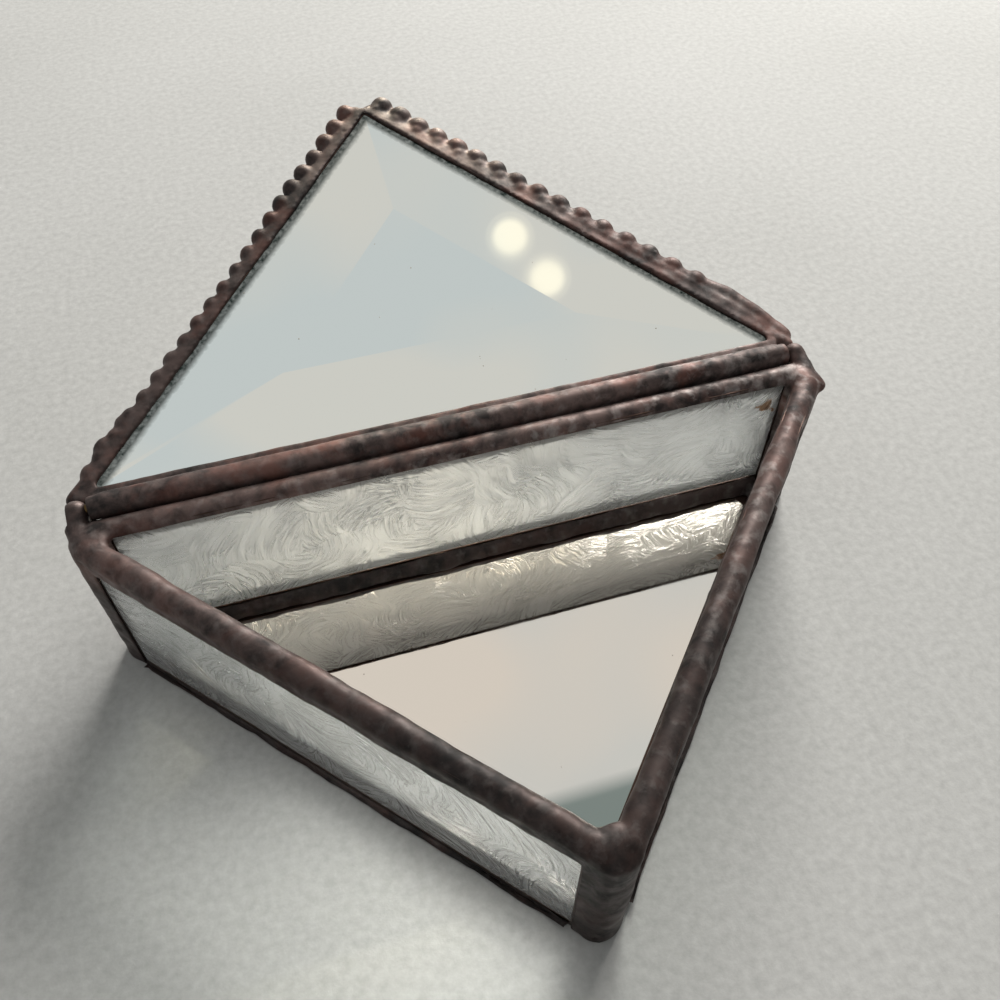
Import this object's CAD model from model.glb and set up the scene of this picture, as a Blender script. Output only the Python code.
import math

import bmesh
import bpy
from mathutils import Matrix, Quaternion, Vector, noise


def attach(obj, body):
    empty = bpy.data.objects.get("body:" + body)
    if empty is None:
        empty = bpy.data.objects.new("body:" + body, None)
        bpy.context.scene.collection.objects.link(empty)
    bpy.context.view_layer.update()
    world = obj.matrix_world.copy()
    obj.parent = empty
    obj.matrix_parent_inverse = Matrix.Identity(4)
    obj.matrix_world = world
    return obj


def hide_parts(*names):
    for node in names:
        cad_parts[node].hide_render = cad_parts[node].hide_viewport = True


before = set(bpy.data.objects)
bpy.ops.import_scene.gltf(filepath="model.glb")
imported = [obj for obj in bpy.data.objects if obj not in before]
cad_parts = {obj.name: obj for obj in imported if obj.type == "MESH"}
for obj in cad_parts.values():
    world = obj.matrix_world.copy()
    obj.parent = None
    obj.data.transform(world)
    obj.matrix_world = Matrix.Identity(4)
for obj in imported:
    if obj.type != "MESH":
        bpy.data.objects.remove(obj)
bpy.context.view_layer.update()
print("frame loaded,", len(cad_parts), "nodes")

mm = 0.001


def linearColour(code):
    # sRGB hex to the linear values that the shaders want
    parts = [int(code[i:i + 2], 16) / 255 for i in (1, 3, 5)]
    linear = [c / 12.92 if c <= 0.04045 else ((c + 0.055) / 1.055) ** 2.4 for c in parts]
    return (*linear, 1.0)


def scaleFor(sizeMm):
    # texture scale whose features come out about this many millimetres wide
    return 1000 / sizeMm


def inMetres(span):
    return [value * mm for value in span]


def addNode(tree, kind, inputs=None, **settings):
    # a node with its settings; an input is a plain value or the socket that feeds it
    node = tree.nodes.new(kind)
    for name, value in settings.items():
        setattr(node, name, value)
    for socket, value in (inputs or {}).items():
        if isinstance(value, bpy.types.NodeSocket):
            tree.links.new(value, node.inputs[socket])
        else:
            node.inputs[socket].default_value = value
    return node


def addNoise(tree, place, sizeMm, detail, roughness=0.5, distortion=0.0):
    return addNode(tree, "ShaderNodeTexNoise",
                   {"Vector": place, "Scale": scaleFor(sizeMm), "Detail": detail,
                    "Roughness": roughness, "Distortion": distortion}).outputs[0]


def addRange(tree, value, start, end, low=0.0, high=1.0, **settings):
    # low up to start, high from end on
    return addNode(tree, "ShaderNodeMapRange",
                   {"Value": value, "From Min": start, "From Max": end,
                    "To Min": low, "To Max": high}, **settings).outputs[0]


def addMath(tree, operation, *values):
    return addNode(tree, "ShaderNodeMath", dict(enumerate(values)),
                   operation=operation).outputs[0]


def addVector(tree, operation, *values):
    return addNode(tree, "ShaderNodeVectorMath", dict(enumerate(values)),
                   operation=operation).outputs[0]


def blendColours(tree, share, first, second, blend="MIX"):
    # each end is a hex colour or a socket
    ends = [linearColour(end) if isinstance(end, str) else end for end in (first, second)]
    return addNode(tree, "ShaderNodeMix", {0: share, 6: ends[0], 7: ends[1]},
                   data_type="RGBA", blend_type=blend).outputs[2]


def splitPlace(tree, place):
    return addNode(tree, "ShaderNodeSeparateXYZ", {"Vector": place}).outputs


def startMaterial(name):
    material = bpy.data.materials.new(name)
    material.use_nodes = True
    tree = material.node_tree
    tree.nodes.clear()
    return material, tree, addNode(tree, "ShaderNodeTexCoord").outputs["Object"]


def finishMaterial(tree, inputs):
    skin = addNode(tree, "ShaderNodeBsdfPrincipled", inputs)
    addNode(tree, "ShaderNodeOutputMaterial", {"Surface": skin.outputs[0]})


# Camera: solved from the box's own edges and corners in the photograph, in mm and degrees
camera = {
    "place": (-24.472, -101.345, 146.187),
    "aim": (4.34, -5.35, 20.0),
    "roll": -0.205,
    "lens": 34.684,
    "sensor": 36,
    "nearest": 5,
    "farthest": 50000,
}


def makeCamera():
    lens = bpy.data.cameras.new("camera")
    lens.lens = camera["lens"]
    lens.sensor_width = camera["sensor"]
    lens.sensor_fit = "HORIZONTAL"
    lens.clip_start = camera["nearest"] * mm
    lens.clip_end = camera["farthest"] * mm
    view = bpy.data.objects.new("camera", lens)
    way = Vector(camera["aim"]) - Vector(camera["place"])
    roll = Quaternion((0, 0, 1), math.radians(camera["roll"]))
    view.location = Vector(camera["place"]) * mm
    view.rotation_euler = (way.to_track_quat("-Z", "Y") @ roll).to_euler()
    bpy.context.scene.collection.objects.link(view)
    bpy.context.scene.camera = view


makeCamera()
print("camera set")

# Studio, in metres and watts: one window-like key from behind on the right, a soft fill and a
# narrow warm beam on the floor just behind the hinge wall, seen through its glass
studio = {
    "middle": (0, 0, 0.02),
    "keyPlace": (0.72, 1.02, 0.68),
    "keySize": 0.75,
    "keyPower": 35,
    "keyColour": "#fffbf5",
    "fillPlace": (-0.9, -0.3, 1.2),
    "fillSize": 1.2,
    "fillPower": 1.0,
    "fillColour": "#ffffff",
    "beamPlace": (0.35, 1.1, 0.6),
    "beamAim": (-0.011, 0.014, 0.0),
    "beamWidth": 3.0,                    # degrees
    "beamSoftness": 0.02,
    "beamPower": 170,
    "beamColour": "#fff0d4",
}


def placeLight(name, light, place, power, colour, target):
    light.energy = power
    light.color = linearColour(colour)[:3]
    lamp = bpy.data.objects.new(name, light)
    lamp.location = place
    aim = Vector(target) - Vector(place)
    lamp.rotation_euler = aim.to_track_quat("-Z", "Y").to_euler()
    bpy.context.scene.collection.objects.link(lamp)
    return lamp


def roundLight(name, place, size, power, colour, target):
    light = bpy.data.lights.new(name, "AREA")
    light.shape = "DISK"
    light.size = size
    return placeLight(name, light, place, power, colour, target)


def makeLights():
    for light in ("key", "fill"):
        roundLight(light + "Light", studio[light + "Place"], studio[light + "Size"],
                   studio[light + "Power"], studio[light + "Colour"], studio["middle"])
    beam = bpy.data.lights.new("warmBeam", "SPOT")
    beam.spot_size = math.radians(studio["beamWidth"])
    beam.spot_blend = 1.0
    beam.shadow_soft_size = studio["beamSoftness"]
    placeLight("warmBeam", beam, studio["beamPlace"], studio["beamPower"],
               studio["beamColour"], studio["beamAim"])


# Two small warm lamps that the lid mirror alone shows: discs laid over one another, so that
# each has a soft glow round it
lamps = {
    "places": [(0.4701, 0.5992, 1.3555), (0.519, 0.5217, 1.3638)],
    "discs": [(0.050, 0.003), (0.058, 0.003), (0.066, 0.002), (0.082, 0.0012)],
    "colour": "#fff0c8",
    "target": (0.02, 0.03, 0.035),
}


def makeLamps():
    lidOnly = bpy.data.collections.new("lidMirrorOnly")
    lidOnly.objects.link(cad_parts["lid_mirror_glass"])
    for place in lamps["places"]:
        for size, power in lamps["discs"]:
            lamp = roundLight("lamp", place, size, power, lamps["colour"], lamps["target"])
            lamp.light_linking.receiver_collection = lidOnly


def stagePlane(name, place, half, material):
    shape = bmesh.new()
    stretch = Matrix.Diagonal((half[0], half[1], 1, 1))
    bmesh.ops.create_grid(shape, x_segments=1, y_segments=1, size=1,
                          matrix=Matrix.Translation(place) @ stretch)
    mesh = bpy.data.meshes.new(name)
    shape.to_mesh(mesh)
    shape.free()
    plane = bpy.data.objects.new(name, mesh)
    bpy.context.scene.collection.objects.link(plane)
    mesh.materials.append(material)
    return plane


floor = {
    "half": (3, 3),
    "pale": "#c4c5c4",
    "shade": "#b3b4b2",
    "cloudMm": 90,
    "gritMm": 1.6,
    "gritSpread": (0.3, 0.7),
    "gritTone": (0.86, 1.06),
    "gritStrength": 0.25,
    "gritDepth": 0.2,                    # mm
    "roughness": 0.85,
}


def floorMaterial():
    # Troweled concrete, pale: soft cloudy patches and fine grit, no gloss
    material, tree, place = startMaterial("troweledConcrete")
    clouds = addNoise(tree, place, floor["cloudMm"], 3.0, 0.45)
    grit = addNoise(tree, place, floor["gritMm"], 4.0, 0.6)
    tone = blendColours(tree, clouds, floor["pale"], floor["shade"])
    fleck = addRange(tree, grit, *floor["gritSpread"], *floor["gritTone"])
    bump = addNode(tree, "ShaderNodeBump",
                   {"Height": grit, "Strength": floor["gritStrength"],
                    "Distance": floor["gritDepth"] * mm})
    finishMaterial(tree, {"Base Color": blendColours(tree, 1.0, tone, fleck, "MULTIPLY"),
                          "Roughness": floor["roughness"], "Normal": bump.outputs[0]})
    return material


# Only mirrors see this card: it shades the front of the floor mirror
flag = {
    "place": (0.033, -0.0225, 0.12),
    "half": (0.0195, 0.0175),
    "fade": (-11.5, -6.5),               # mm, where its far edge thins out
    "colour": "#7e8c8c",
}


def flagMaterial():
    # A grey-green card with a soft edge, like a photographer's flag
    material, tree, place = startMaterial("flagCard")
    edge = addRange(tree, splitPlace(tree, place)["Y"], *inMetres(flag["fade"]))
    card = addNode(tree, "ShaderNodeEmission", {"Color": linearColour(flag["colour"])})
    clear = addNode(tree, "ShaderNodeBsdfTransparent")
    mix = addNode(tree, "ShaderNodeMixShader",
                  {0: edge, 1: card.outputs[0], 2: clear.outputs[0]})
    addNode(tree, "ShaderNodeOutputMaterial", {"Surface": mix.outputs[0]})
    return material


def makeFlag():
    card = stagePlane("flag", flag["place"], flag["half"], flagMaterial())
    card.visible_camera = False
    card.visible_diffuse = False
    card.visible_transmission = False
    card.visible_shadow = False


# A room of soft light with pale and cool clouds. Mirrors show it at full strength, while matt
# surfaces get less of it, so that shadows hold
sky = {
    "pale": "#f0ece6",
    "cool": "#e2e7e8",
    "clouds": 5.0,
    "cloudSpread": (0.4, 0.6),
    "strength": 0.8,
    "onSurfaces": 0.27,
}


def makeSky():
    world = bpy.data.worlds.new("softRoom")
    bpy.context.scene.world = world
    world.use_nodes = True
    tree = world.node_tree
    tree.nodes.clear()
    way = addNode(tree, "ShaderNodeTexCoord").outputs["Generated"]
    haze = addNode(tree, "ShaderNodeTexNoise",
                   {"Vector": way, "Scale": sky["clouds"], "Detail": 1.0, "Roughness": 0.4})
    spread = addRange(tree, haze.outputs[0], *sky["cloudSpread"])
    matt = addNode(tree, "ShaderNodeLightPath").outputs["Is Diffuse Ray"]
    light = addNode(tree, "ShaderNodeBackground",
                    {"Color": blendColours(tree, spread, sky["pale"], sky["cool"]),
                     "Strength": addRange(tree, matt, 0.0, 1.0, sky["strength"],
                                          sky["onSurfaces"])})
    addNode(tree, "ShaderNodeOutputWorld", {"Surface": light.outputs[0]})
    bpy.context.scene.view_settings.view_transform = "Standard"


stagePlane("floor", (0, 0, 0), floor["half"], floorMaterial())
makeFlag()
makeLights()
makeLamps()
makeSky()
print("studio set")

weldWithin = 1e-6        # metres


def nodeCopy(*names):
    # one bmesh of the named CAD nodes, each merged into closed faces
    shape = bmesh.new()
    for name in names:
        part = bmesh.new()
        part.from_mesh(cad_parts[name].data)
        bmesh.ops.remove_doubles(part, verts=part.verts, dist=weldWithin)
        mesh = bpy.data.meshes.new("copy")
        part.to_mesh(mesh)
        part.free()
        shape.from_mesh(mesh)
        bpy.data.meshes.remove(mesh)
    return shape


def flowTogether(shape, voxelMm, rounds):
    # solder beads run into one another: voxel remesh, then rounds of smoothing
    mesh = bpy.data.meshes.new("flow")
    shape.to_mesh(mesh)
    shape.free()
    holder = bpy.data.objects.new("flow", mesh)
    bpy.context.scene.collection.objects.link(holder)
    remesh = holder.modifiers.new("flow", "REMESH")
    remesh.mode = "VOXEL"
    remesh.voxel_size = voxelMm * mm
    graph = bpy.context.evaluated_depsgraph_get()
    baked = bpy.data.meshes.new_from_object(holder.evaluated_get(graph))
    out = bmesh.new()
    out.from_mesh(baked)
    bpy.data.objects.remove(holder)
    bpy.data.meshes.remove(mesh)
    bpy.data.meshes.remove(baked)
    for turn in range(rounds):
        bmesh.ops.smooth_vert(out, verts=out.verts, factor=0.5,
                              use_axis_x=True, use_axis_y=True, use_axis_z=True)
    return out


# Hand soldering: long swells, short ripples and a few pits, mostly inwards
byHand = {
    "swellRest": 0.35,
    "rippleRest": 0.2,
    "rippleShift": Vector((9, 3, 5)),
}


def unevenHand(shape, uneven):
    shape.normal_update()
    moves = []
    for vert in shape.verts:
        place = vert.co / mm
        swell = noise.noise(place / uneven["swellSize"]) - byHand["swellRest"]
        ripple = noise.noise(place / uneven["rippleSize"] + byHand["rippleShift"])
        near = noise.voronoi(place / uneven["pitSpacing"])[0][0] * uneven["pitSpacing"]
        pit = max(0.0, 1 - near / uneven["pitRadius"]) ** 2
        lift = (uneven["swell"] * swell + uneven["ripple"] * (ripple - byHand["rippleRest"])
                - uneven["pitDepth"] * pit + uneven["fill"])
        if "calm" in uneven:
            lift *= uneven["calm"](place)
        moves.append(vert.normal * lift * mm)
    for vert, move in zip(shape.verts, moves):
        vert.co += move
        vert.co.z = max(vert.co.z, 0.0)


def addPiece(name, shape, body, material, slot, *nodes, smooth=True):
    mesh = bpy.data.meshes.new(name)
    for face in shape.faces:
        face.smooth = smooth
    shape.to_mesh(mesh)
    shape.free()
    piece = bpy.data.objects.new(name, mesh)
    bpy.context.scene.collection.objects.link(piece)
    mesh.materials.append(material)
    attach(piece, body)
    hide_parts(*nodes)
    print(name, len(mesh.polygons), "faces")


# Solder over foil, darkened with a copper patina: satin brown to mauve with dark clouds,
# redder where the copper took and greyer where handling wore the film thin
solder = {
    "dark": "#282221",
    "brown": "#695854",
    "red": "#7e5247",
    "grey": "#a19996",
    "cloudMm": 26,
    "patchMm": 7,
    "mottleMm": 2.6,
    "scuffMm": 2.2,
    "scuffStrength": 0.4,
    "scuffDepth": 0.1,                   # mm
    "brownSpread": (0.82, 1.16),         # of clouds and mottle together
    "redSpread": (0.48, 0.66),
    "greySpread": (0.52, 0.74),
    "glossSpread": (0.35, 0.65),
    "duller": 0.1,
    "glossier": 0.08,
    "metallic": 0.35,
    "specular": 0.3,
    # where the film changes, in mm, and its tone or wear there
    "leftToRight": (-50, 30),
    "leftTone": 0.8,
    "leftWear": 0.35,
    "frontToHinge": (-45, -6),
    "frontTone": 0.33,
    "hingeToFar": (5, 12),
    "farTone": 0.62,
    "lowToRim": (22, 27),
    "lowTone": 0.31,
}


def filmTone(tree, east, y, z):
    # handled most along the hinge and on the right: elsewhere the film stayed thick and dark
    front = addRange(tree, y, *inMetres(solder["frontToHinge"]), solder["frontTone"], 1.0)
    far = addRange(tree, y, *inMetres(solder["hingeToFar"]), 1.0, solder["farTone"])
    low = addRange(tree, z, *inMetres(solder["lowToRim"]), solder["lowTone"], 1.0)
    darkest = addMath(tree, "MINIMUM", addMath(tree, "MINIMUM", front, far), low)
    sideTone = addRange(tree, east, 0.0, 1.0, solder["leftTone"], 1.0)
    return addMath(tree, "MULTIPLY", darkest, sideTone)


def solderMaterial(name, redness, greyness, roughness):
    material, tree, place = startMaterial(name)
    clouds = addNoise(tree, place, solder["cloudMm"], 2.0)
    patches = addNoise(tree, place, solder["patchMm"], 4.0, 0.6)
    mottle = addNoise(tree, place, solder["mottleMm"], 6.0, 0.6, 0.3)
    scuffs = addNoise(tree, place, solder["scuffMm"], 5.0, 0.55, 0.2)
    brown = addRange(tree, addMath(tree, "ADD", mottle, clouds), *solder["brownSpread"])
    ground = blendColours(tree, brown, solder["dark"], solder["brown"])
    copper = addRange(tree, patches, *solder["redSpread"], 0.0, redness)
    reddened = blendColours(tree, copper, ground, solder["red"])
    x, y, z = splitPlace(tree, place)
    east = addRange(tree, x, *inMetres(solder["leftToRight"]))
    worn = addMath(tree, "MULTIPLY",
                   addRange(tree, scuffs, *solder["greySpread"], 0.0, greyness),
                   addRange(tree, east, 0.0, 1.0, solder["leftWear"], 1.0))
    mixed = blendColours(tree, worn, reddened, solder["grey"])
    colour = blendColours(tree, 1.0, mixed, filmTone(tree, east, y, z), "MULTIPLY")
    gloss = addRange(tree, mottle, *solder["glossSpread"], roughness + solder["duller"],
                     roughness - solder["glossier"])
    bump = addNode(tree, "ShaderNodeBump",
                   {"Height": scuffs, "Strength": solder["scuffStrength"],
                    "Distance": solder["scuffDepth"] * mm})
    finishMaterial(tree, {"Base Color": colour, "Metallic": solder["metallic"],
                          "Specular IOR Level": solder["specular"],
                          "Roughness": gloss, "Normal": bump.outputs[0]})
    return material


boxPatina = solderMaterial("patinatedSolderBox", 0.3, 0.75, 0.54)
lidPatina = solderMaterial("patinatedSolderLid", 0.55, 0.45, 0.58)

# The box's plan and its hinge axis, in mm and degrees, as in the CAD
plan = {"hingeWall": 130, "frontWall": 97}
hinge = {"y": 2.587, "z": 31.3, "elevation": 17}
halfWall = plan["hingeWall"] / 2
halfCorner = math.asin(halfWall / plan["frontWall"])
frontTurn = math.pi / 2 + halfCorner
apexY = -math.sqrt(plan["frontWall"] ** 2 - halfWall ** 2)
tilt = math.radians(hinge["elevation"])


def lidToBox(u, v, w):
    # a point of the open lid's own frame (along the hinge, up the mirror, out of it)
    return Vector((u, hinge["y"] + v * math.cos(tilt) - w * math.sin(tilt),
                   hinge["z"] + v * math.sin(tilt) + w * math.cos(tilt)))


def dropBeads(shape, points):
    # single drops of solder at points in millimetres, each with its own radius
    for place, radius in points:
        bmesh.ops.create_icosphere(shape, subdivisions=3, radius=radius * mm,
                                   matrix=Matrix.Translation(place * mm))


def runBead(shape, points):
    # a run of solder through such points
    dropBeads(shape, points)
    for (start, startRadius), (end, endRadius) in zip(points, points[1:]):
        way = end - start
        turn = way.to_track_quat("Z", "Y").to_matrix().to_4x4()
        bmesh.ops.create_cone(shape, cap_ends=True, segments=24, radius1=startRadius * mm,
                              radius2=endRadius * mm, depth=way.length * mm,
                              matrix=Matrix.Translation((start + end) / 2 * mm) @ turn)


# The roll and the parts next to it keep their running clearance, in mm
clearance = {"calm": 0.35, "from": 2.5, "run": 3}


def calmAtHinge(place):
    away = math.hypot(place.y - hinge["y"], place.z - hinge["z"])
    rise = min(1.0, max(0.0, (away - clearance["from"]) / clearance["run"]))
    return clearance["calm"] + (1 - clearance["calm"]) * rise


# Rims, corner columns and the lugs at the hinge ends: one run of solder by hand
boxSolder = {
    "nodes": ["rim_solder_hinge", "rim_solder_left", "rim_solder_right",
              "corner_solder_left", "corner_solder_right", "corner_solder_apex",
              "hinge_lug_left", "hinge_lug_right"],
    "voxel": 0.32,
    "rounds": 5,
    # from the ball over the hinge rod's bend, over the column's top, to the corner's tip
    "rightEnd": [((60.0, 2.5, 31.1), 1.8), ((60.5, 2.0, 30.7), 1.7), ((60.1, -1.8, 29.7), 2.0),
                 ((61.4, -4.6, 29.6), 1.2)],
    "leftEnd": [((-60.2, 2.58, 31.1), 1.95), ((-60.6, 1.0, 30.2), 1.9),
                ((-60.2, -1.2, 29.7), 1.9), ((-60.9, -2.7, 29.6), 1.3)],
    # under the roll's ends, where no heel closes the gap
    "rightLip": [((49.5, 1.2, 27.7), 0.9), ((59.5, 1.7, 28.0), 1.0)],
    "leftLip": [((-49.5, 1.2, 27.7), 0.9), ((-54.0, 1.7, 28.0), 1.0), ((-59.5, 1.7, 28.0), 1.05)],
    # behind the hinge wall's outer face nothing reaches far past this, left or right
    "widest": 61.4,
    "pastWidest": 0.25,
    "uneven": {"swellSize": 9, "swell": 0.24, "rippleSize": 2.6, "ripple": 0.11,
               "pitSpacing": 7.5, "pitRadius": 0.55, "pitDepth": 0.3, "fill": 0.05,
               "calm": calmAtHinge},
}


def makeBoxSolder():
    shape = nodeCopy(*boxSolder["nodes"])
    for run in ("rightEnd", "leftEnd", "rightLip", "leftLip"):
        runBead(shape, [(Vector(place), radius) for place, radius in boxSolder[run]])
    shape = flowTogether(shape, boxSolder["voxel"], boxSolder["rounds"])
    unevenHand(shape, boxSolder["uneven"])
    widest = boxSolder["widest"] * mm
    for vert in shape.verts:
        if vert.co.y > 0 and abs(vert.co.x) > widest:
            over = abs(vert.co.x) - widest
            vert.co.x = math.copysign(widest + over * boxSolder["pastWidest"], vert.co.x)
    addPiece("rimAndColumns", shape, "box", boxPatina, "patinated_solder", *boxSolder["nodes"])


makeBoxSolder()

# The fillets round the floor mirror: narrow runs, lumpier than the rims
seams = {
    "nodes": ["inner_seam_hinge", "inner_seam_left", "inner_seam_right"],
    "voxel": 0.32,
    "rounds": 3,
    "uneven": {"swellSize": 6, "swell": 0.35, "rippleSize": 1.8, "ripple": 0.16,
               "pitSpacing": 5, "pitRadius": 0.5, "pitDepth": 0.3, "fill": 0.05},
}


def makeFloorSeams():
    shape = flowTogether(nodeCopy(*seams["nodes"]), seams["voxel"], seams["rounds"])
    unevenHand(shape, seams["uneven"])
    addPiece("floorSeams", shape, "box", boxPatina, "patinated_solder", *seams["nodes"])


makeFloorSeams()


def outsideWalls(place):
    # how far a point lies outside the walls' outer faces
    front = (abs(place.x) * math.cos(halfCorner) - place.y * math.sin(halfCorner)
             - halfWall * math.cos(halfCorner))
    return max(place.y, front)


def outerOnly(place):
    # full away from the wall, and more over the last few millimetres, so that the bead thins
    # out where it meets a column
    away = min(math.hypot(abs(place.x) - halfWall, place.y),
               math.hypot(place.x, place.y - apexY))
    atEnd = max(0.0, 1 - max(0.0, away - foot["endFrom"]) / foot["endRun"])
    return ((1 + foot["endThinner"] * atEnd)
            * min(1.0, max(0.0, outsideWalls(place) / foot["fullFrom"])))


# Foot beads: only their outer round wanders, the thin layer under the panes stays flat
foot = {
    "step": 1.5,
    "cutWithin": 1e-7,
    "fullFrom": 0.4,
    "endFrom": 5.0,
    "endRun": 5.0,
    "endThinner": 2,
    "uneven": {"swellSize": 7, "swell": 0.45, "rippleSize": 2.0, "ripple": 0.2,
               "pitSpacing": 5, "pitRadius": 0.6, "pitDepth": 0.3, "fill": -0.3,
               "calm": outerOnly},
}


def makeFootBead(node, turn):
    # slices across the wall every few millimetres give the bead points to move
    shape = nodeCopy(node)
    along = Vector((math.cos(turn), math.sin(turn), 0))
    reach = [vert.co.dot(along) for vert in shape.verts]
    cut = min(reach) + foot["step"] * mm
    while cut < max(reach):
        every = shape.verts[:] + shape.edges[:] + shape.faces[:]
        bmesh.ops.bisect_plane(shape, geom=every, dist=foot["cutWithin"],
                               plane_co=along * cut, plane_no=along)
        cut += foot["step"] * mm
    unevenHand(shape, foot["uneven"])
    name = node.replace("foot_solder", "footBead")
    addPiece(name, shape, "box", boxPatina, "patinated_solder", node)


makeFootBead("foot_solder_hinge", 0)
makeFootBead("foot_solder_left", frontTurn)
makeFootBead("foot_solder_right", -frontTurn)

# The mirror's free edges, in the lid's own frame
lidEdge = {
    "line": 45.93,                       # from the hinge's middle, square to the edge
    "outward": Vector((math.cos(halfCorner), math.sin(halfCorner))),
    "slope": Vector((-math.sin(halfCorner), math.cos(halfCorner))),
}
lidCorner = Vector((lidEdge["line"] / lidEdge["outward"].x, 0))


def edgePoint(hand, along, out, w):
    # a point by its way along a free edge from the hinge, outwards from it and above it
    u, v = lidCorner + lidEdge["slope"] * along + lidEdge["outward"] * out
    return lidToBox(hand * u, v, w)


def edgeMeasure(place):
    # the other way round: how far along and outwards a point in millimetres lies
    v = (place.y - hinge["y"]) * math.cos(tilt) + (place.z - hinge["z"]) * math.sin(tilt)
    flat = Vector((abs(place.x), v))
    out = flat.dot(lidEdge["outward"]) - lidEdge["line"]
    return (flat - lidCorner).dot(lidEdge["slope"]), out


def between(steps, at):
    # a value read off a list of (where, value) steps
    if at <= steps[0][0]:
        return steps[0][1]
    for (start, low), (end, high) in zip(steps, steps[1:]):
        if at <= end:
            return low + (high - low) * (at - start) / (end - start)
    return steps[-1][1]


# Lid edging: hinge roll, edge solder and the ball chain. On the right, solder fills the groove
# behind the balls and drowns them towards the hinge; on the left it ends in lumps
lidSolder = {
    "nodes": ["lid_solder_hinge", "lid_solder_left", "lid_solder_right",
              "lid_corner_left", "lid_corner_right", "lid_corner_apex",
              "ball_chain_left", "ball_chain_right"],
    "voxel": 0.3,
    "rounds": 3,
    # how far out the balls sit beyond their plain place, by the way along the edge
    "spreadRight": [(2, 0.3), (5, 1.0), (11, 1.9), (16, 2.3), (22, 0.6), (91, 0.3)],
    "spreadLeft": [(14, -0.3), (50, -0.3), (60, 0.3), (70, 0.9), (90, 1.3)],
    "spreadAlong": 1,
    "spreadFrom": 0.6,
    "spreadRun": 1.3,
    # runs and drops: along the edge, outwards, out of the mirror, radius
    "fillRight": [(4, 1.2, -2.9, 1.6), (12, 2.0, -2.9, 1.8), (40, 2.0, -2.8, 1.7),
                  (92, 1.6, -2.6, 1.3)],
    "drownRight": [(4.5, 2.6, -3.3, 2.0), (11, 3.7, -3.3, 2.1), (17, 4.2, -3.3, 2.1),
                   (24, 3.3, -3.2, 1.8), (34, 3.1, -3.1, 1.7), (60, 2.9, -3.0, 1.6),
                   (90, 2.7, -3.0, 1.3)],
    # the balls that still show, closer together towards the tip
    "scallopsRight": [(22.6 + 5 * turn - 0.03 * turn * turn, 3.7, -3.2, 2.3)
                      for turn in range(16)],
    "rail": [(3, 1.0, -2.5, 1.4), (92, 1.0, -2.5, 1.4)],
    "fillLeft": [(5, 0.3, -2.7, 1.3), (50, 0.3, -2.7, 1.3), (70, 0.9, -2.6, 1.4),
                 (92, 1.5, -2.6, 1.4)],
    "lumpsLeft": [(17.6, 1.8, -3.0, 1.9), (12.6, 2.2, -3.2, 2.2), (7.9, 1.3, -3.2, 2.2),
                  (3.9, -0.1, -3.1, 1.9)],
    # along the hinge: the roll itself, full size again after the smoothing
    "roll": 2.15,
    "rollEnd": 58.1,
    "uneven": {"swellSize": 8, "swell": 0.22, "rippleSize": 2.4, "ripple": 0.12,
               "pitSpacing": 8, "pitRadius": 0.5, "pitDepth": 0.35, "fill": 0.05,
               "calm": calmAtHinge},
}


def spreadEdging(shape):
    for vert in shape.verts:
        along, out = edgeMeasure(vert.co / mm)
        if along > lidSolder["spreadAlong"] and out > lidSolder["spreadFrom"]:
            steps = lidSolder["spreadRight" if vert.co.x > 0 else "spreadLeft"]
            share = min(1.0, (out - lidSolder["spreadFrom"]) / lidSolder["spreadRun"])
            move = edgePoint(1, 0, 1, 0) - edgePoint(1, 0, 0, 0)
            move.x = math.copysign(move.x, vert.co.x)
            vert.co += move * between(steps, along) * share * mm


def makeLidSolder():
    shape = nodeCopy(*lidSolder["nodes"])
    spreadEdging(shape)
    for lay, run, hand in ((runBead, "fillRight", 1), (runBead, "drownRight", 1),
                           (dropBeads, "scallopsRight", 1), (runBead, "rail", 1),
                           (runBead, "rail", -1), (runBead, "fillLeft", -1),
                           (dropBeads, "lumpsLeft", -1)):
        lay(shape, [(edgePoint(hand, along, out, w), radius)
                    for along, out, w, radius in lidSolder[run]])
    rollReach = lidSolder["rollEnd"] - lidSolder["roll"]
    runBead(shape, [(lidToBox(-rollReach, 0, 0), lidSolder["roll"]),
                    (lidToBox(rollReach, 0, 0), lidSolder["roll"])])
    shape = flowTogether(shape, lidSolder["voxel"], lidSolder["rounds"])
    unevenHand(shape, lidSolder["uneven"])
    addPiece("lidEdging", shape, "lid", lidPatina, "patinated_solder", *lidSolder["nodes"])


makeLidSolder()
print("solder done")

# Glue-chip glass: dried glue tore fern-like feathers out of one face of clear float glass.
# It stays clear, and bends what shows through it along fine curved ridges
wallGlass = {
    "feather": 9,                        # mm across one feather
    "ridge": 1.1,                        # mm between a feather's ridges
    "ridgeRun": 9,                       # mm that a ridge runs
    "curl": 55.0,                        # how much a feather's ridges bend, per metre
    "lotSpread": 40.0,                   # keeps one feather's ridges unlike the next one's
    "drift": 6,                          # mm that the feathers wander
    "driftSize": 16,                     # mm
    "patch": 16,                         # mm between rich and calm patches
    "patchSpread": (0.4, 0.6),
    "calmest": 0.15,
    "groove": 0.045,                     # half a groove's share of a ridge
    "swell": 3.0,                        # broad waves against the grooves' depth of one
    "depth": 0.2,                        # mm
    "smooth": 0.08,                      # roughness between the grooves
    "torn": 0.3,                         # and in them
    "colour": "#fcfefd",
    "clear": 0.7,                        # the rest is scattered by the torn face
    "index": 1.52,
    "shadowTint": (0.93, 0.95, 0.94, 1),
}


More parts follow.
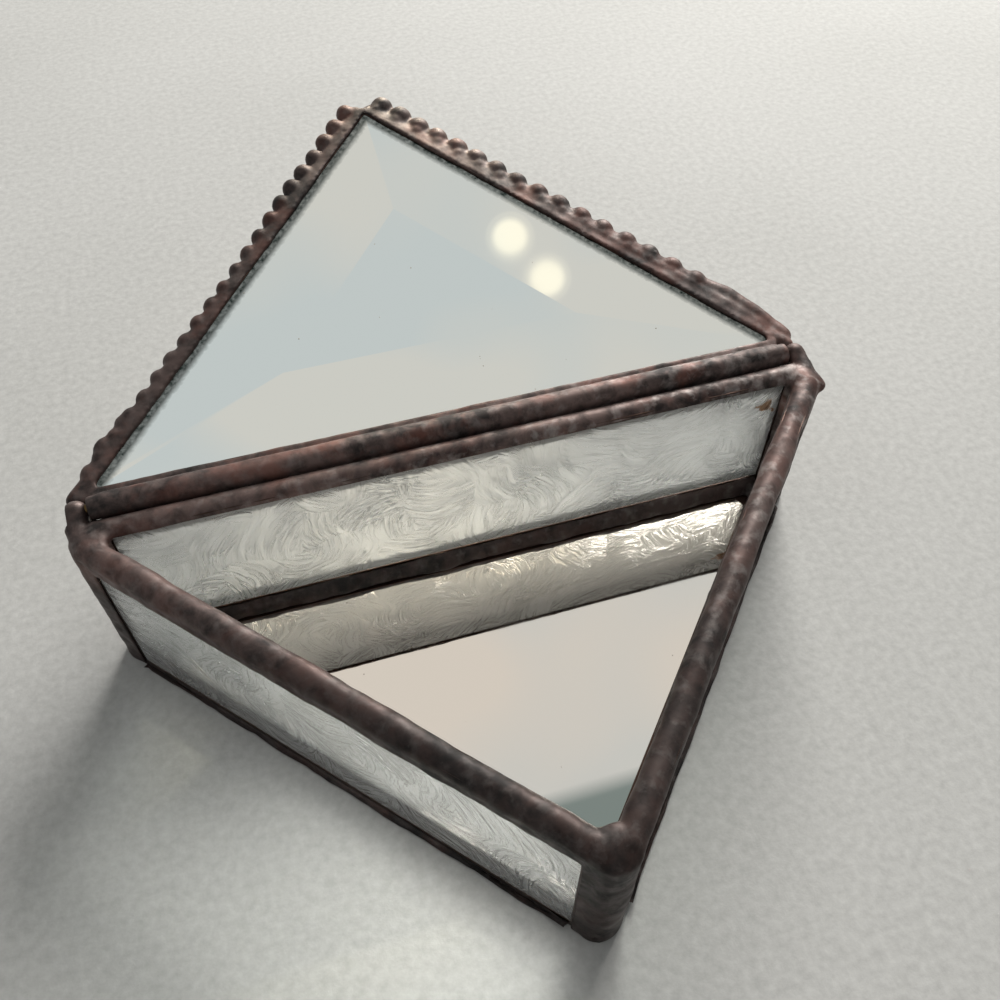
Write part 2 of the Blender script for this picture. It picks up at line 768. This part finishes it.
def addRidges(tree, flat):
    # each feather lies its own way: streaks along arcs round the middle of its cell
    drift = addNode(tree, "ShaderNodeTexNoise",
                    {"Vector": flat, "Scale": scaleFor(wallGlass["driftSize"]), "Detail": 1.0})
    centred = addVector(tree, "SUBTRACT", drift.outputs[1], (0.5, 0.5, 0.5))
    moved = addVector(tree, "MULTIPLY_ADD", centred, (wallGlass["drift"] * mm,) * 3, flat)
    cells = addNode(tree, "ShaderNodeTexVoronoi",
                    {"Vector": moved, "Scale": scaleFor(wallGlass["feather"])})
    lot = addNode(tree, "ShaderNodeSeparateColor", {0: cells.outputs["Color"]})
    turned = addNode(tree, "ShaderNodeVectorRotate",
                     {"Vector": addVector(tree, "SUBTRACT", moved, cells.outputs["Position"]),
                      "Angle": addMath(tree, "MULTIPLY", lot.outputs[0], math.tau)},
                     rotation_type="Y_AXIS")
    x, y, z = splitPlace(tree, turned.outputs[0])
    arc = addMath(tree, "MULTIPLY_ADD", addMath(tree, "MULTIPLY", x, x), wallGlass["curl"], z)
    along = addMath(tree, "MULTIPLY", x, scaleFor(wallGlass["ridgeRun"]))
    across = addMath(tree, "MULTIPLY", arc, scaleFor(wallGlass["ridge"]))
    lotShift = addMath(tree, "MULTIPLY", lot.outputs[1], wallGlass["lotSpread"])
    place = addNode(tree, "ShaderNodeCombineXYZ", {0: along, 1: lotShift, 2: across})
    return addNode(tree, "ShaderNodeTexNoise",
                   {"Vector": place.outputs[0], "Scale": 1.0, "Detail": 3.0,
                    "Roughness": 0.5, "Distortion": 0.4}).outputs[0]


# An amber stain of old flux in the hinge pane's upper right corner
stain = {
    "colour": "#86531f",
    "place": Vector((53.3, -3, 25.1)),
    "tornMm": 2.4,
    "tornBy": 6,                         # mm
    "edge": (4.1, 4.6),                  # mm, with half of tornBy in them
    "strength": 0.95,
    "clear": 0.3,
}


def addStain(tree, source):
    away = addNode(tree, "ShaderNodeVectorMath", {0: source, 1: stain["place"] * mm},
                   operation="DISTANCE")
    torn = addNoise(tree, source, stain["tornMm"], 3.0)
    blot = addMath(tree, "MULTIPLY_ADD", torn, stain["tornBy"] * mm, away.outputs["Value"])
    stained = addRange(tree, blot, *inMetres(stain["edge"]), stain["strength"], 0.0)
    colour = blendColours(tree, stained, wallGlass["colour"], stain["colour"])
    through = addRange(tree, stained, 0.0, 1.0, wallGlass["clear"], stain["clear"])
    return colour, through


# Behind the hinge pane's top and foot, flux and solder crept past the foil: nearly black
crept = {
    "middle": 17.5,                      # mm, the pane's half height
    "from": 10.6,                        # mm from there
    "reach": 2.2,
    "soft": 0.5,
    "raggedMm": 2.5,
    "outerFace": -1.5,
    "colour": "#262b27",
    "clear": 0.05,
}


def addCreptSolder(tree, source, patch, colour, through):
    x, y, z = splitPlace(tree, source)
    fromMiddle = addMath(tree, "SUBTRACT", z, crept["middle"] * mm)
    height = addMath(tree, "ABSOLUTE", fromMiddle)
    ragged = addMath(tree, "ADD", addNoise(tree, source, crept["raggedMm"], 4.0), patch)
    reach = addMath(tree, "MULTIPLY_ADD", ragged, crept["reach"] * mm, height)
    start = crept["from"] + crept["reach"]
    band = addRange(tree, reach, start * mm, (start + crept["soft"]) * mm)
    outer = addMath(tree, "GREATER_THAN", y, crept["outerFace"] * mm)
    amount = addMath(tree, "MULTIPLY", band, outer)
    darkened = blendColours(tree, amount, colour, crept["colour"])
    lessClear = addNode(tree, "ShaderNodeMix", {0: amount, 2: through, 3: crept["clear"]})
    return darkened, lessClear.outputs[0]


def chippedGlassMaterial(name, turn, solderCrept=False):
    material, tree, source = startMaterial(name)
    pane = addNode(tree, "ShaderNodeMapping", {"Vector": source, "Rotation": (0, 0, -turn)})
    flat = addVector(tree, "MULTIPLY", pane.outputs[0], (1, 0, 1))
    streaks = addRidges(tree, flat)
    patch = addNoise(tree, flat, wallGlass["patch"], 2.0)
    rich = addRange(tree, patch, *wallGlass["patchSpread"], wallGlass["calmest"], 1.0)
    # a thin groove wherever the streaks cross their middle value
    fromMiddle = addMath(tree, "ABSOLUTE", addMath(tree, "SUBTRACT", streaks, 0.5))
    groove = addRange(tree, fromMiddle, 0.0, wallGlass["groove"], 1.0, 0.0,
                      interpolation_type="SMOOTHSTEP")
    ridges = addMath(tree, "MULTIPLY", groove, rich)
    bump = addNode(tree, "ShaderNodeBump",
                   {"Height": addMath(tree, "MULTIPLY_ADD", streaks, wallGlass["swell"],
                                      ridges),
                    "Strength": 1.0, "Distance": wallGlass["depth"] * mm})
    frost = addRange(tree, ridges, 0.0, 1.0, wallGlass["smooth"], wallGlass["torn"])
    colour, through = addStain(tree, source)
    if solderCrept:
        colour, through = addCreptSolder(tree, source, patch, colour, through)
    skin = addNode(tree, "ShaderNodeBsdfPrincipled",
                   {"Base Color": colour, "Roughness": frost, "IOR": wallGlass["index"],
                    "Transmission Weight": through, "Normal": bump.outputs[0]})
    # light passes the panes: shadow rays see them as clear
    path = addNode(tree, "ShaderNodeLightPath")
    clear = addNode(tree, "ShaderNodeBsdfTransparent", {"Color": wallGlass["shadowTint"]})
    mix = addNode(tree, "ShaderNodeMixShader",
                  {0: path.outputs["Is Shadow Ray"], 1: skin.outputs[0], 2: clear.outputs[0]})
    addNode(tree, "ShaderNodeOutputMaterial", {"Surface": mix.outputs[0]})
    return material


# Silvered float glass: a clean mirror, drawn as one polished face because solder hides every
# edge. Dust lies on it, and damp has crept in under the lid's two free edges
mirror = {
    "lidTint": "#eef2ef",
    "floorTint": "#f6efe6",
    "dust": "#a39a8c",
    "dustMm": 2.4,                       # between specks
    "dustSpread": (0.55, 1.0),
    "dustSize": 0.055,                   # of the way between specks, at most
    "dustDull": 0.6,
    "hazeMm": 24,
    "hazeSpread": (0.3, 0.7),
    "hazeDull": 0.05,
    "creep": "#1d2a27",
    "creepWidth": 2.0,                   # mm
    "creepEdge": (0.1, 1.1),             # mm outwards from there
    "creepSides": (-2, 2),               # mm, where left turns into right
    "creepRagged": (1.1, 1.0),           # mm, left and right
    "raggedMm": 0.9,
    "depthSpread": (0.3, 0.7),
    "depth": (1.0, 0.65),
    "creepDull": 0.25,
}


def addCreep(tree, place, colour, gloss):
    # outwards is the same way on both sides once x is folded over
    outward = Vector((lidEdge["outward"].x, math.cos(tilt) * lidEdge["outward"].y,
                      math.sin(tilt) * lidEdge["outward"].y))
    edge = lidEdge["line"] + Vector((0, hinge["y"], hinge["z"])).dot(outward)
    x, y, z = splitPlace(tree, place)
    folded = addNode(tree, "ShaderNodeCombineXYZ", {0: addMath(tree, "ABSOLUTE", x), 1: y, 2: z})
    reach = addNode(tree, "ShaderNodeVectorMath", {0: folded.outputs[0], 1: outward},
                    operation="DOT_PRODUCT").outputs["Value"]
    ragged = addNoise(tree, place, mirror["raggedMm"], 3.0, 0.6)
    reachBy = addRange(tree, x, *inMetres(mirror["creepSides"]),
                       *inMetres(mirror["creepRagged"]))
    wander = addMath(tree, "MULTIPLY_ADD", ragged, reachBy, reach)
    start, end = [(edge - mirror["creepWidth"] + out) * mm for out in mirror["creepEdge"]]
    amount = addMath(tree, "MULTIPLY", addRange(tree, wander, start, end),
                     addRange(tree, ragged, *mirror["depthSpread"], *mirror["depth"]))
    return (blendColours(tree, amount, colour, mirror["creep"]),
            addMath(tree, "MULTIPLY_ADD", amount, mirror["creepDull"], gloss))


def mirrorMaterial(name, tint, creeping):
    material, tree, place = startMaterial(name)
    cells = addNode(tree, "ShaderNodeTexVoronoi",
                    {"Vector": place, "Scale": scaleFor(mirror["dustMm"])})
    lot = addNode(tree, "ShaderNodeSeparateColor", {0: cells.outputs["Color"]})
    size = addRange(tree, lot.outputs[0], *mirror["dustSpread"], 0.0, mirror["dustSize"])
    speck = addMath(tree, "LESS_THAN", cells.outputs["Distance"], size)
    haze = addNoise(tree, place, mirror["hazeMm"], 3.0)
    dull = addRange(tree, haze, *mirror["hazeSpread"], 0.0, mirror["hazeDull"])
    colour = blendColours(tree, speck, tint, mirror["dust"])
    gloss = addMath(tree, "MULTIPLY_ADD", speck, mirror["dustDull"], dull)
    if creeping:
        colour, gloss = addCreep(tree, place, colour, gloss)
    finishMaterial(tree, {"Base Color": colour, "Roughness": gloss,
                          "Metallic": addMath(tree, "SUBTRACT", 1.0, speck)})
    return material


# Mirror backing paint over the silver: flat pale grey, sprayed, a little uneven
backingPaint = {
    "colours": ("#cfcec9", "#dcdbd6"),
    "mottle": (5, 6.0, 0.7),             # mm, detail, roughness of the noise
    "spread": (0.45, 0.7),
    "metallic": 0.0,
    "roughness": 0.55,
}
# Copper foil that the patina reached too: brown, with pinker copper where it is thin
copperFoil = {
    "colours": ("#2b2522", "#4d3a33"),
    "mottle": (3, 4.0, 0.5),
    "spread": (0.0, 1.0),
    "metallic": 1.0,
    "roughness": 0.4,
}
# Drawn brass rod and tube, browned by flux and patina
oldBrass = {
    "colours": ("#33291d", "#6a5635"),
    "mottle": (2.5, 4.0, 0.5),
    "spread": (0.0, 1.0),
    "metallic": 1.0,
    "roughness": 0.4,
}


def mottledMaterial(name, look):
    material, tree, place = startMaterial(name)
    share = addRange(tree, addNoise(tree, place, *look["mottle"]), *look["spread"])
    finishMaterial(tree, {"Base Color": blendColours(tree, share, *look["colours"]),
                          "Metallic": look["metallic"], "Roughness": look["roughness"]})
    return material


backing = mottledMaterial("mirrorBackingPaint", backingPaint)
foil = mottledMaterial("patinatedCopperFoil", copperFoil)
brass = mottledMaterial("tarnishedBrass", oldBrass)

# Foil presses into the glass by a hair, so that light inside a pane meets the foil itself
wallFoil = {
    "press": 0.03,                       # mm
    "flatWithin": 0.01,                  # radians
    "sameWay": 0.02,
}


def makeFoil(name, node):
    shape = nodeCopy(node)
    bmesh.ops.dissolve_limit(shape, angle_limit=wallFoil["flatWithin"], verts=shape.verts,
                             edges=shape.edges)
    shape.normal_update()
    moves = []
    for vert in shape.verts:
        ways = []
        for face in vert.link_faces:
            if all((face.normal - way).length > wallFoil["sameWay"] for way in ways):
                ways.append(face.normal.copy())
        moves.append(sum(ways, Vector()) * wallFoil["press"] * mm)
    for vert, move in zip(shape.verts, moves):
        vert.co += move
    bmesh.ops.triangulate(shape, faces=shape.faces)
    addPiece(name, shape, "box", foil, "copper_foil", node, smooth=False)


makeFoil("hingeWallFoil", "hinge_wall_foil")
makeFoil("leftWallFoil", "left_wall_foil")
makeFoil("rightWallFoil", "right_wall_foil")
print("foil done")


def dressNode(name, material):
    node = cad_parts[name]
    node.data.materials.clear()
    node.data.materials.append(material)


dressNode("hinge_wall_glass", chippedGlassMaterial("glueChipGlassHinge", 0, solderCrept=True))
dressNode("left_wall_glass", chippedGlassMaterial("glueChipGlassLeft", frontTurn))
dressNode("right_wall_glass", chippedGlassMaterial("glueChipGlassRight", -frontTurn))
dressNode("lid_mirror_glass", mirrorMaterial("lidMirror", mirror["lidTint"], True))
dressNode("base_mirror_glass", mirrorMaterial("floorMirror", mirror["floorTint"], False))
for name in ("base_silvering", "lid_silvering"):
    dressNode(name, backing)
for name in ("base_foil", "lid_foil"):
    dressNode(name, foil)
for name in ("hinge_pin", "hinge_tube"):
    dressNode(name, brass)
print("CAD nodes dressed")
